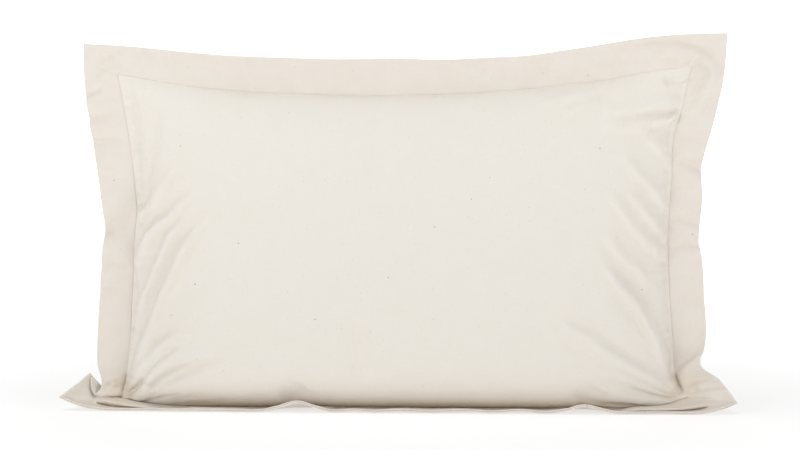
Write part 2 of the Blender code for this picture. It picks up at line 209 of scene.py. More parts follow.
# Soft creases of the upright sides of the flange, seen from the front:
# (height, half width on the path's left, on its right, path of (x, z)). They show where
# the cloth faces the front by more than LEAST_UPRIGHT, in full from UPRIGHT_SPAN more.
LEAST_UPRIGHT = 0.2
UPRIGHT_SPAN = 0.4
FLANGE_FOLDS = [
    (6.5, 9, 7, [(340, 482), (375, 486), (399, 483), (415, 478), (426, 469), (430, 458), (428, 447),
                  (419, 434), (409, 422), (392, 408)]),
    (-3.5, 8, 7, [(305, 488), (338, 498), (361, 500), (386, 500), (406, 495), (421, 487), (440, 464)]),
    (-0.9, 4, 4, [(394, 478), (410, 470), (417, 461), (413, 450), (400, 434)]),
    (1.4, 4, 4, [(424, 466), (411, 452), (401, 444), (390, 430)]),
    (-2.4, 4, 5, [(374, 388), (386, 402), (394, 410), (402, 417), (411, 425), (426, 438)]),
    (2.4, 4, 7, [(-420, 438), (-417, 446), (-414, 453), (-410, 458), (-403, 461), (-395, 461),
                 (-380, 458)]),
    (-1.5, 5, 5, [(-425, 440), (-421, 450), (-416, 459), (-406, 464), (-395, 466), (-376, 464)]),
    (-2.6, 7, 8, [(-424, 462), (-418, 470), (-407, 480), (-396, 485), (-374, 497)]),
    (-2.8, 3, 4, [(-450, 421), (-437, 426), (-427, 430), (-410, 436)]),
    (3.0, 14, 9, [(-448, 416), (-360, 420)]),
    (-2.4, 9, 11, [(-448, 396), (-360, 396)]),
    (2.5, 10, 10, [(-446, 384), (-356, 386)]),
    (-3.0, 10, 16, [(-446, 364), (-356, 366)]),
    (2.6, 26, 12, [(-436, 288), (-340, 288)]),
    (-8.0, 11, 20, [(-436, 246), (-412, 248), (-390, 254), (-364, 262), (-346, 266)]),
    (-3.0, 8, 8, [(-450, 232), (-412, 236), (-392, 246)]),
    (2.2, 18, 10, [(-436, 206), (-350, 206)]),
    (-1.6, 10, 12, [(-436, 188), (-350, 190)]),
    (1.6, 10, 9, [(-436, 172), (-350, 174)]),
    (-1.8, 9, 14, [(-436, 156), (-350, 158)]),
    (-2.0, 12, 14, [(-436, 108), (-350, 96)]),
    (3.5, 24, 10, [(352, 380), (446, 376)]),
    (-5.5, 10, 8, [(352, 344), (376, 338), (397, 333), (416, 324), (436, 318)]),
    (2.2, 24, 10, [(352, 294), (440, 294)]),
    (-2.4, 9, 6, [(352, 266), (370, 263), (400, 254), (417, 245), (432, 240)]),
    (2.4, 5, 10, [(352, 252), (376, 250), (400, 244), (432, 232)]),
    (-3.4, 11, 5, [(350, 218), (369, 219), (414, 221), (434, 222)]),
    (-2.0, 10, 8, [(356, 152), (436, 145)]),
    (-3.0, 8, 8, [(424, 116), (416, 100), (407, 81), (395, 65), (380, 48)]),
    (4.0, 5, 5, [(424, 78), (411, 69), (397, 58), (382, 45)]),
    (-5.0, 6, 5, [(450, 44), (437, 44), (422, 45), (408, 43), (397, 35), (390, 18)]),
    (3.5, 3, 4, [(388, 14), (395, 20), (403, 28), (418, 34)]),
    (-4.5, 3, 3, [(386, 12), (391, 16), (398, 22), (410, 31)]),
    (5.0, 4, 9, [(384, 8), (392, 13), (403, 19), (414, 22), (427, 25), (441, 27), (470, 26)]),
    (-4.0, 6, 6, [(396, 13), (410, 12), (430, 6)]),
    (2.5, 12, 9, [(70, 476), (105, 454), (146, 428)]),
    (2.0, 14, 10, [(-216, 492), (-204, 428)]),
    (-2.5, 12, 14, [(-72, 488), (-60, 422)]),
    (-2.8, 12, 16, [(208, 492), (194, 430)]),
    (2.2, 16, 12, [(-330, 500), (-322, 440)]),
    (-2.2, 12, 12, [(-340, 462), (-318, 470), (-280, 474), (-250, 480)]),
    (-2.5, 7, 8, [(250, 464), (300, 470), (345, 469), (362, 466)]),
    (-1.3, 4, 6, [(-372, 500), (-362, 484), (-356, 474)]),
    (-1.3, 4, 6, [(-352, 500), (-344, 486), (-338, 474)]),
]
# Where the seam is drawn deep in among the folds at the low corners: (depth, half width,
# path of (x, z)).
PINCHES = [
    (8.0, 3.4, [(374, 50), (377, 42), (380, 34), (384, 24), (389, 16)]),
    (3.0, 4.0, [(-373, 48), (-375, 34), (-377, 22), (-379, 10)]),
]
# The creases fade out toward the seam, more sharply at the loop round the high right corner.
SEAM_FADE = 14
LOOP_FADE = 4
LOOP_REACH = 50
LOOP_CENTRE = (405, 450)
# A fold is read at this many samples and tapers off over this share of its length.
FOLD_SAMPLES = 64
FOLD_TAPER = 0.25
# Small puckers that the topstitching draws in the flange. The wider their pitch, the
# higher they are: PUCKER_HEIGHT, and a millimetre more for each PUCKER_GROWTH of pitch.
PUCKER_PITCHES = (11.0, 17.0, 29.0, 61.0)
PUCKER_HEIGHT = 0.16
PUCKER_GROWTH = 110
# Along the seam they drift and swell. Across it they keep the share PUCKER_FAR all the way
# and have PUCKER_NEAR more round PUCKER_DISTANCE from the seam.
PUCKER_SEED = 11
PUCKER_DRIFT = 0.12
PUCKER_SWELL_STEP = 80
PUCKER_SWELL = (0.3, 1.2)
PUCKER_NEAR = 0.7
PUCKER_FAR = 0.3
PUCKER_DISTANCE = 5
PUCKER_REACH = 9
# Painted shade for the flange's hollows: cotton this far below the cloth around it would
# get all of it, but no point gets more than the cap.
FLANGE_PAINTED_SHADE_DEPTH = 9.0
FLANGE_PAINTED_SHADE_STEPS = 3
PAINTED_SHADE_CAP = 0.6
# A warm painted shade darkens the tight folds of the two low corners, where light is
# caught between layers of cotton.
KNOTS = [(-379, 18), (384, 26)]
KNOT_PAINTED_SHADE = 0.32
KNOT_REACH = 26


def eased_step(value, low, high):
    """0 below low, 1 above high and smooth between them."""
    share = np.clip((value - low) / (high - low), 0, 1)
    return share * share * (3 - 2 * share)


def fold_relief(folds, x, z):
    """How far soft folds lift the cloth, at points seen from the front."""
    total = np.zeros_like(x)
    for height, left_half, right_half, path in folds:
        curve = SmoothCurve([(px, 0, pz) for px, pz in path])
        share = np.linspace(0, 1, FOLD_SAMPLES)
        line = curve.at(share)
        run_x = np.gradient(line[:, 0])
        run_z = np.gradient(line[:, 2])
        reach = 3 * max(left_half, right_half)
        near = (
            (x > line[:, 0].min() - reach) & (x < line[:, 0].max() + reach)
            & (z > line[:, 2].min() - reach) & (z < line[:, 2].max() + reach)
        )
        off_x = x[near][:, None] - line[None, :, 0]
        off_z = z[near][:, None] - line[None, :, 2]
        gap = np.hypot(off_x, off_z)
        nearest = gap.argmin(axis=1)
        rows = np.arange(len(nearest))
        side = run_x[nearest] * off_z[rows, nearest] - run_z[nearest] * off_x[rows, nearest]
        side /= np.hypot(run_x, run_z)[nearest]
        half = np.where(side > 0, left_half, right_half)
        between_ends = (nearest > 0) & (nearest < FOLD_SAMPLES - 1)
        away = np.where(between_ends, np.abs(side), gap[rows, nearest])
        taper = eased_step(np.minimum(share, 1 - share), 0, FOLD_TAPER)[nearest]
        total[near] += height * taper * np.exp(-((away / half) ** 2))
    return total


def pinched(points):
    """Cloth of the front with the places pushed back where the seam is drawn in."""
    moved = points.copy()
    for depth, half, path in PINCHES:
        dip = fold_relief([(depth, half, half, path)], points[..., 0], points[..., 2])
        moved[..., 1] += dip * (points[..., 1] < 0)
    return moved


def flange_side(seam, edge, first, last, flat_start, flat_end, outward):
    """One side of the flange from its low or left end: points of the seam and of the edge,
    bends, and the flat places where seam and edge lay before the case was filled."""
    first_seam, first_edge = first
    last_seam, last_edge = last
    along_edge = np.linspace(0, edge.length, int(edge.length / FLANGE_STEP) + 1)
    curled = first == CURLED_CORNER
    turn_seam, turn_edge = CURL_TURN if curled else (0, 0)
    edge_marks = [0, turn_edge, first_edge, edge.length - last_edge, edge.length]
    seam_marks = [0, turn_seam, first_seam, seam.length - last_seam, seam.length]
    along_seam = np.interp(along_edge, edge_marks, seam_marks)
    steps = CURL_EVENED_STEPS if curled else EVENED_STEPS
    before = 2 * along_seam[0] - along_seam[steps:0:-1]
    after = 2 * along_seam[-1] - along_seam[-2 : -steps - 2 : -1]
    lengthened = np.concatenate([before, along_seam, after])
    along_seam = np.convolve(lengthened, np.full(2 * steps + 1, 1 / (2 * steps + 1)), "valid")
    bends = np.zeros((len(along_edge), 3))
    if curled:
        marks = np.array(CURL_BENDS, float)
        bends[:, 1] = np.interp(along_edge, marks[:, 0], marks[:, 1])
        bends[:, 2] = np.interp(along_edge, marks[:, 0], marks[:, 2])
    flat_start = np.array(flat_start, float)
    flat_end = np.array(flat_end, float)
    outward = np.array(outward, float)
    direction = (flat_end - flat_start) / np.linalg.norm(flat_end - flat_start)
    seam_share = (along_seam / seam.length)[:, None]
    edge_share = (along_edge / edge.length)[:, None]
    flat_seam = flat_start + (flat_end - flat_start) * seam_share
    edge_start = flat_start + (outward - direction) * FLANGE_WIDTH
    edge_end = flat_end + (outward + direction) * FLANGE_WIDTH
    flat_edge = edge_start + (edge_end - edge_start) * edge_share
    return seam.at(seam_share[:, 0]), edge.at(edge_share[:, 0]), bends, flat_seam, flat_edge


def tucked(offset):
    """The shape of a fold back: 1 ahead at offset 1, 1 behind at offset -1, flat far off."""
    return offset * np.exp(0.5 - 0.5 * offset * offset)


def flange_ring():
    """The four sides joined once round, from the low left corner."""
    square = SQUARE_CORNER
    low_left, low_right = (0, 0), (POCKET_WIDTH, 0)
    high_left, high_right = (0, POCKET_HEIGHT), (POCKET_WIDTH, POCKET_HEIGHT)
    raised = [(x, y, z + EDGE_CLEAR * (1 - eased_step(z, *EDGE_CLEAR_LEVELS))) for x, y, z in EDGE_BOTTOM]
    edges = [SmoothCurve(points) for points in (raised, EDGE_RIGHT, EDGE_TOP, EDGE_LEFT)]
    bottom = flange_side(seam_bottom, edges[0], square, square, low_left, low_right, (0, -1))
    right = flange_side(seam_right, edges[1], square, square, low_right, high_right, (1, 0))
    top = flange_side(seam_top, edges[2], square, square, high_left, high_right, (0, 1))
    left = flange_side(seam_left, edges[3], CURLED_CORNER, square, low_left, high_left, (-1, 0))
    return [
        np.concatenate([on_bottom[:-1], on_right[:-1], on_top[:0:-1], on_left[:0:-1]])
        for on_bottom, on_right, on_top, on_left in zip(bottom, right, top, left)
    ]


def surface_normals(points, closed):
    """Normals of a grid of points whose rows run round the flange or up a panel."""
    if closed:
        along = np.roll(points, -1, axis=0) - np.roll(points, 1, axis=0)
    else:
        along = np.gradient(points, axis=0)
    across = np.gradient(points, axis=1)
    normals = np.cross(across, along)
    return normals / np.maximum(np.linalg.norm(normals, axis=2, keepdims=True), 1e-9)


def flange_middle():
    """The flange's mid surface by (station, strip), its normals and its flat places."""
    seam_points, edge_points, bends, flat_seam, flat_edge = flange_ring()
    share = np.linspace(0, 1, FLANGE_STRIPS + 1)[None, :, None]
    points = seam_points[:, None] * (1 - share) + edge_points[:, None] * share
    points = points + bends[:, None] * (4 * share * (1 - share))
    flat = flat_seam[:, None] * (1 - share) + flat_edge[:, None] * share
    station = np.arange(len(points))
    from_corner = np.minimum(station, len(points) - station)[:, None] * FLANGE_STEP
    sagging = np.exp(-((from_corner / SAG_REACH) ** 2)) * (4 * share * (1 - share))[..., 0]
    points[..., 2] -= CORNER_SAG * sagging
    normals = surface_normals(points, True)
    low_enough = 1 - eased_step(points[..., 2], *CURL_END_UP)
    in_curl = (1 - eased_step(points[..., 0], *CURL_END_ACROSS)) * low_enough
    upright = np.clip((-normals[..., 1] - LEAST_UPRIGHT) / UPRIGHT_SPAN, 0, 1) * (1 - in_curl)
    from_seam = share[..., 0] * FLANGE_WIDTH
    loop_x, loop_z = LOOP_CENTRE
    from_loop = ((points[..., 0] - loop_x) ** 2 + (points[..., 2] - loop_z) ** 2) / LOOP_REACH**2
    fade = SEAM_FADE - (SEAM_FADE - LOOP_FADE) * np.exp(-from_loop)
    off_seam = 1 - np.exp(-((from_seam / fade) ** 2))
    puckered = PUCKER_NEAR * np.exp(-((from_seam - PUCKER_DISTANCE) / PUCKER_REACH) ** 2) + PUCKER_FAR
    relief = fold_relief(FLANGE_FOLDS, points[..., 0], points[..., 2])
    relief = relief + stitch_puckers(len(points))[:, None] * puckered
    lying = eased_step(normals[..., 2], *LYING_SLOPE) * (1 - eased_step(points[..., 2], *LYING_LEVELS))
    pleats = fold_relief(FLOOR_FOLDS, points[..., 0], points[..., 1])
    points = points + normals * (relief * off_seam * upright)[..., None]
    points[..., 2] += pleats * off_seam * lying
    x = points[..., 0]
    for x_from, x_to, seam_from, seam_to, reach, high_from, high_to, half in FLOOR_TUCKS:
        along = np.clip((x - x_from) / (x_to - x_from), 0, 1)
        present = eased_step(x, x_from, x_from + TUCK_END)
        present = present * (1 - eased_step(x, x_to - TUCK_END, x_to)) * lying
        offset = (from_seam - (seam_from + (seam_to - seam_from) * along)) / half
        points[..., 1] += reach * tucked(offset) * present
        layer = (high_from + (high_to - high_from) * along) * (1 - eased_step(offset, -1, 1))
        points[..., 2] += layer * present * (1 - np.exp(-((from_seam / TUCK_OFF_SEAM) ** 2)))
    foot = eased_step(x, *FOOT_STARTS) * (1 - eased_step(x, *FOOT_ENDS)) * (points[..., 1] > FOOT_BEHIND)
    points[..., 1] -= FOOT_REACH * tucked((points[..., 2] - FOOT_LEVEL) / FOOT_HALF) * foot
    points = pinched(points)
    return points, surface_normals(points, True), flat


def hollows(points, normals, closed, steps):
    """How far each point lies below the mean of its neighbours within some steps."""
    around = points
    window = 2 * steps + 1
    for axis in (0, 1):
        pads = [(0, 0)] * 3
        pads[axis] = (steps, steps)
        if closed and axis == 0:
            wide = np.pad(around, pads, mode="wrap")
        else:
            wide = np.pad(around, pads, mode="reflect", reflect_type="odd")
        count = around.shape[axis]
        around = sum(np.take(wide, np.arange(k, k + count), axis=axis) for k in range(window)) / window
    return ((around - points) * normals).sum(axis=2)


def knot_painted_shade(points):
    """How much warm painted shade the tight folds of the two low corners get."""
    total = 0
    for x, z in KNOTS:
        away = (points[..., 0] - x) ** 2 + (points[..., 2] - z) ** 2
        total = total + KNOT_PAINTED_SHADE * np.exp(-away / KNOT_REACH**2)
    return total


def stitch_puckers(count):
    """Height of the small puckers beside the topstitching, by station."""
    random = np.random.default_rng(PUCKER_SEED)
    along = np.arange(count) * FLANGE_STEP
    total = np.zeros(count)
    for pitch in PUCKER_PITCHES:
        phase = np.cumsum(random.normal(0, PUCKER_DRIFT, count)) + along * (2 * math.pi / pitch)
        total += np.sin(phase) * (PUCKER_HEIGHT + pitch / PUCKER_GROWTH)
    swell_places = np.arange(0, along[-1] + PUCKER_SWELL_STEP, PUCKER_SWELL_STEP)
    swells = random.uniform(*PUCKER_SWELL, int(along[-1] / PUCKER_SWELL_STEP) + 2)
    return total * np.interp(along, swell_places, swells)


def flange_skin(points, normals, flat):
    """Closes the doubled cloth round its mid surface: a section loop for each station."""
    from_seam = np.linspace(0, 1, FLANGE_STRIPS + 1) * FLANGE_WIDTH
    half = FLANGE_HALF + (SEAM_HALF - FLANGE_HALF) * np.exp(-from_seam / SEAM_PRESSED)
    on_floor = 1 - eased_step(points[:, -1, 2], *ON_FLOOR_LEVELS)
    edge_half = EDGE_HALF + (LOWER_EDGE_HALF - EDGE_HALF) * on_floor
    near_edge = np.exp(-((FLANGE_WIDTH - from_seam) / EDGE_REACH) ** 2)
    half = half[None, :] + (edge_half[:, None] - FLANGE_HALF) * near_edge[None, :]
    lift = np.maximum(half - THIN_HALF, 0) * on_floor[:, None]
    points = points + normals * lift[..., None]
    front = points + normals * half[..., None]
    back = points - normals * half[..., None]
    outward = points[:, -1] - points[:, -2]
    outward /= np.linalg.norm(outward, axis=1, keepdims=True)
    lip = [
        points[:, -1] + (outward * out + normals[:, -1] * up) * edge_half[:, None] for out, up in EDGE_LIP
    ]
    loop = np.concatenate([front[:, :-1], np.stack(lip, axis=1), back[:, -2::-1]], axis=1)
    loop[..., 2] = np.maximum(loop[..., 2], 0)
    flat_lip = np.repeat(flat[:, -1:], len(EDGE_LIP), axis=1)
    return loop, np.concatenate([flat[:, :-1], flat_lip, flat[:, -2::-1]], axis=1)


def looped_faces(stations, around):
    """Faces of a closed ring whose section is a closed loop of points."""
    a = np.arange(stations)[:, None] * around + np.arange(around)[None, :]
    b = np.roll(a, -1, axis=0)
    faces = np.stack([a, b, np.roll(b, -1, axis=1), np.roll(a, -1, axis=1)], axis=-1)
    return faces.reshape(-1, 4)


def make_piece(name, points, faces, flat=None, painted_shade=None):
    """A mesh object from millimetre points, with the flat places as its cloth UV map and
    how much painted shade each point gets, for hollows and shaded places, as an attribute."""
    mesh = bpy.data.meshes.new(name)
    placed = (points.reshape(-1, 3) + table_shift) * MM
    mesh.from_pydata(placed.tolist(), [], faces.tolist())
    if flat is not None:
        layer = mesh.uv_layers.new(name="cloth")
        corners = np.empty(len(mesh.loops), np.int32)
        mesh.loops.foreach_get("vertex_index", corners)
        layer.data.foreach_set("uv", (flat.reshape(-1, 2)[corners] * MM).ravel().astype(np.float32))
    if painted_shade is not None:
        depths = mesh.attributes.new("painted_shade", "FLOAT", "POINT").data
        depths.foreach_set("value", painted_shade.ravel().astype(np.float32))
    mesh.shade_smooth()
    piece = bpy.data.objects.new(name, mesh)
    bpy.context.scene.collection.objects.link(piece)
    return piece


def linear(hex_colour):
    """An sRGB hex colour as linear red, green and blue."""
    parts = [int(hex_colour[k : k + 2], 16) / 255 for k in (1, 3, 5)]
    return tuple(c / 12.92 if c <= 0.04045 else ((c + 0.055) / 1.055) ** 2.4 for c in parts)


def add_node(tree, kind, settings, links):
    """Adds a node. Settings go by property, or by an input's name or number. Links give
    each input, by name or number, the node and the output that feed it."""
    node = tree.nodes.new(kind)
    for name, value in settings.items():
        if isinstance(name, int) or name in node.inputs:
            node.inputs[name].default_value = value
        else:
            setattr(node, name, value)
    for name, (source, output) in links.items():
        tree.links.new(source.outputs[output], node.inputs[name])
    return node


# Natural unbleached cotton, plain woven. It is matt and warm off-white. Its thicker threads
# show as faint streaks, and bits of seed coat left in the yarn as specks.
COTTON_ROUGHNESS = 0.9
COTTON_SHEEN = 0.2
# Thick threads as changes for each metre (across, up, unused): a weft one runs on for about
# 17 mm and is 1.25 mm wide, and a warp one for 22 mm and 1.4 mm. The warp's share is less.
WEFT_RUNS = (60, 800, 1)
WARP_RUNS = (700, 45, 1)
WARP_SHARE = 0.4
# Soft blotches about 26 mm wide, as changes for each metre.
BLOTCHES = 38.0
# The pattern's range, and what the base colour is multiplied by at its ends.
TONE_RANGE = (0.30, 0.70)
DEEPER = (0.975, 0.97, 0.96)
PALER = (1.02, 1.024, 1.03)
# Specks of seed coat: the space between them, 5.5 mm, their radius as a share of it, and a
# power that leaves few of them strong.
SPECK_SPACING = 0.0055
SPECK_RADIUS = 0.075
SPECK_POWER = 2.2
SPECK_COLOUR = "#96795a"
# The colour of the painted shade that stands for the light between layers of this cotton,
# and how much of it shows.
PAINTED_SHADE_COLOUR = "#cdb28c"
PAINTED_SHADE_SHARE = 0.7
# From thread to thread, 0.9 mm, the weave's part in the relief beside the thick threads',
# and the relief's depth in metres. A wave texture repeats every WAVE_PERIOD at scale 1.
THREAD_PITCH = 0.0009
WEAVE_SHARE = 0.35
THREAD_DEPTH = 0.0005
THREAD_STRENGTH = 0.25
WAVE_PERIOD = 2 * math.pi / 20


def woven_cotton(name, hex_colour, blotch_share):
    """Plain woven cotton: its threads, the thicker ones among them, and faint seed specks.
    Its base colour varies by its threads, and by soft blotches as far as blotch_share.
    It takes a darker, warmer painted shade as far as the mesh's attribute for it says."""
    cotton = bpy.data.materials.new(name)
    cotton.use_nodes = True
    tree = cotton.node_tree
    shader = tree.nodes["Principled BSDF"]
    shader.inputs["Roughness"].default_value = COTTON_ROUGHNESS
    shader.inputs["Specular IOR Level"].default_value = COTTON_SHEEN
    cloth = add_node(tree, "ShaderNodeUVMap", {"uv_map": "cloth"}, {})
    # Thick weft threads run on for centimetres; thick warp threads show less.
    thick = []
    for runs in (WEFT_RUNS, WARP_RUNS):
        drawn_out = add_node(
            tree, "ShaderNodeVectorMath", {"operation": "MULTIPLY", 1: runs}, {0: (cloth, "UV")}
        )
        thick.append(add_node(
            tree, "ShaderNodeTexNoise", {"Scale": 1.0, "Detail": 2.0}, {"Vector": (drawn_out, "Vector")}
        ))
    weft, warp = thick
    blotch = add_node(
        tree, "ShaderNodeTexNoise", {"Scale": BLOTCHES, "Detail": 4.0}, {"Vector": (cloth, "UV")}
    )
    threads = add_node(
        tree, "ShaderNodeMix", {"data_type": "FLOAT", "Factor": WARP_SHARE},
        {2: (weft, "Fac"), 3: (warp, "Fac")},
    )
    shade = add_node(
        tree, "ShaderNodeMix", {"data_type": "FLOAT", "Factor": blotch_share},
        {2: (threads, 0), 3: (blotch, "Fac")},
    )
    tone = add_node(tree, "ShaderNodeValToRGB", {}, {"Fac": (shade, 0)})
    base = linear(hex_colour)
    for element, position, change in zip(tone.color_ramp.elements, TONE_RANGE, (DEEPER, PALER)):
        element.position = position
        element.color = (*(part * times for part, times in zip(base, change)), 1)
    # Specks of seed coat, under a millimetre wide, show in about half of the cells.
    cells = add_node(
        tree, "ShaderNodeTexVoronoi", {"Scale": 1 / SPECK_SPACING, "Randomness": 1.0},
        {"Vector": (cloth, "UV")},
    )
    near = add_node(
        tree, "ShaderNodeMath", {"operation": "LESS_THAN", 1: SPECK_RADIUS}, {0: (cells, "Distance")}
    )
    parts = add_node(tree, "ShaderNodeSeparateColor", {}, {"Color": (cells, "Color")})
    strong = add_node(tree, "ShaderNodeMath", {"operation": "POWER", 1: SPECK_POWER}, {0: (parts, "Red")})
    speck = add_node(tree, "ShaderNodeMath", {"operation": "MULTIPLY"}, {0: (near, 0), 1: (strong, 0)})
    specked = add_node(
        tree, "ShaderNodeMix", {"data_type": "RGBA", 7: (*linear(SPECK_COLOUR), 1)},
        {0: (speck, 0), 6: (tone, "Color")},
    )
    # Painted shade: the colour is darkened and warmed where the mesh's attribute marks the
    # cloth as creased, lying against itself or in shade low down.
    painted_shade_attribute = add_node(tree, "ShaderNodeAttribute", {"attribute_name": "painted_shade"}, {})
    painted_shade_amount = add_node(
        tree, "ShaderNodeMath", {"operation": "MULTIPLY", 1: PAINTED_SHADE_SHARE}, {0: (painted_shade_attribute, "Fac")}
    )
    with_painted_shade = add_node(
        tree, "ShaderNodeMix", {"data_type": "RGBA", 7: (*linear(PAINTED_SHADE_COLOUR), 1)},
        {0: (painted_shade_amount, 0), 6: (specked, 2)},
    )
    tree.links.new(with_painted_shade.outputs[2], shader.inputs["Base Color"])
    # The weave's own relief, drawn at twice its real pitch, which is too fine to show.
    scale = WAVE_PERIOD / THREAD_PITCH
    ends = add_node(tree, "ShaderNodeTexWave", {"Scale": scale}, {"Vector": (cloth, "UV")})
    picks = add_node(
        tree, "ShaderNodeTexWave", {"bands_direction": "Y", "Scale": scale}, {"Vector": (cloth, "UV")}
    )
    weave = add_node(
        tree, "ShaderNodeMath", {"operation": "MULTIPLY"}, {0: (ends, "Fac"), 1: (picks, "Fac")}
    )
    relief = add_node(
        tree, "ShaderNodeMath", {"operation": "MULTIPLY_ADD", 1: WEAVE_SHARE},
        {0: (weave, 0), 2: (threads, 0)},
    )
    bump = add_node(
        tree, "ShaderNodeBump", {"Strength": THREAD_STRENGTH, "Distance": THREAD_DEPTH},
        {"Height": (relief, "Value")},
    )
    tree.links.new(bump.outputs["Normal"], shader.inputs["Normal"])
    return cotton


middle_points, middle_normals, middle_flat = flange_middle()
flange_loops, flange_flat = flange_skin(middle_points, middle_normals, middle_flat)
flange_low, flange_high = (np.array(corner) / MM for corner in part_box("flange"))
# Moves the tables' x and y to where the flange stands in the frame.
table_shift = flange_low + flange_high - flange_loops.min(axis=(0, 1)) - flange_loops.max(axis=(0, 1))
table_shift = table_shift / 2
table_shift[2] = 0
flange_quads = looped_faces(*flange_loops.shape[:2])
# The flange's front face gets painted shade, darker and warmer, in its hollows and at the low corners'
# tight folds.
flange_painted_shade = np.zeros(flange_loops.shape[:2])
middle_hollows = hollows(middle_points, middle_normals, True, FLANGE_PAINTED_SHADE_STEPS)
middle_painted_shade = np.clip(middle_hollows / FLANGE_PAINTED_SHADE_DEPTH, 0, PAINTED_SHADE_CAP)
middle_painted_shade = np.maximum(middle_painted_shade, knot_painted_shade(middle_points))
flange_painted_shade[:, :FLANGE_STRIPS] = middle_painted_shade[:, :-1]
flange = make_piece("flange_cloth", flange_loops, flange_quads, flange_flat, flange_painted_shade)
# Two layers look deeper than one, and more of their threads' own pattern shows.
FLANGE_COLOUR = "#d8d1c8"
FLANGE_BLOTCHES = 0.5
flange.data.materials.append(woven_cotton("unbleached_cotton_doubled", FLANGE_COLOUR, FLANGE_BLOTCHES))
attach(flange, "root")
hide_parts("flange")

# ---------------------------------------------------------------------------------------
# The filled pocket
# Front and back panel inside the topstitch line, stretched over the pillow. Each starts
# as the full form, is let go as flat-cut cloth so that its spare length gathers into
# folds, and is then finished with the small gathers of the topstitching.
# ---------------------------------------------------------------------------------------
# Sections up the middle of the front and of the back: (y, z).
SECTION_FRONT = [
    (-42, 1), (-53, 3.5), (-63, 8), (-72, 16), (-79, 28), (-84, 44), (-88, 70), (-90, 108),
    (-88, 176), (-80, 235), (-69, 294), (-53, 348), (-34, 389), (-12, 416), (12, 427),
]
SECTION_BACK = [
    (-42, 1), (-20, 0), (8, 0), (34, 0), (50, 8), (59, 30), (64, 72), (66, 124),
    (64, 182), (59, 240), (51, 298), (41, 350), (30, 392), (21, 415), (12, 427),
]
# How the section dies out toward the sides: (1 - |side| ** fullness) ** roundness. It
# changes to the low corners' values from LOW_CORNER_TOP of the height down.
SIDE_FULLNESS = 3.2
SIDE_ROUNDNESS = 0.72
LOW_CORNER_FULLNESS = 9.0
LOW_CORNER_ROUNDNESS = 0.46
LOW_CORNER_TOP = 0.24
# The cloth stays flat beside the side seams, over a margin that starts above the low
# corners. High up on the left it is wider. The spans are shares of the height.
SIDE_MARGIN = 13
SIDE_MARGIN_FLAT = 0.75
MARGIN_STARTS = (0.08, 0.25)
WIDE_MARGIN = 30
WIDE_MARGIN_FLAT = 0.75
WIDE_STARTS = (0.5, 0.6)
WIDE_ENDS = (0.9, 1.0)
# Cells across and up each panel, and how evenly spaced they are: 1 is wholly even, and
# less draws them closer to the seams.
COLUMNS = 200
ROWS = 124
EVEN_SHARE = 0.6
# The panel's rim is tucked this far in under the flange's seam.
RIM_TUCK = 1.0
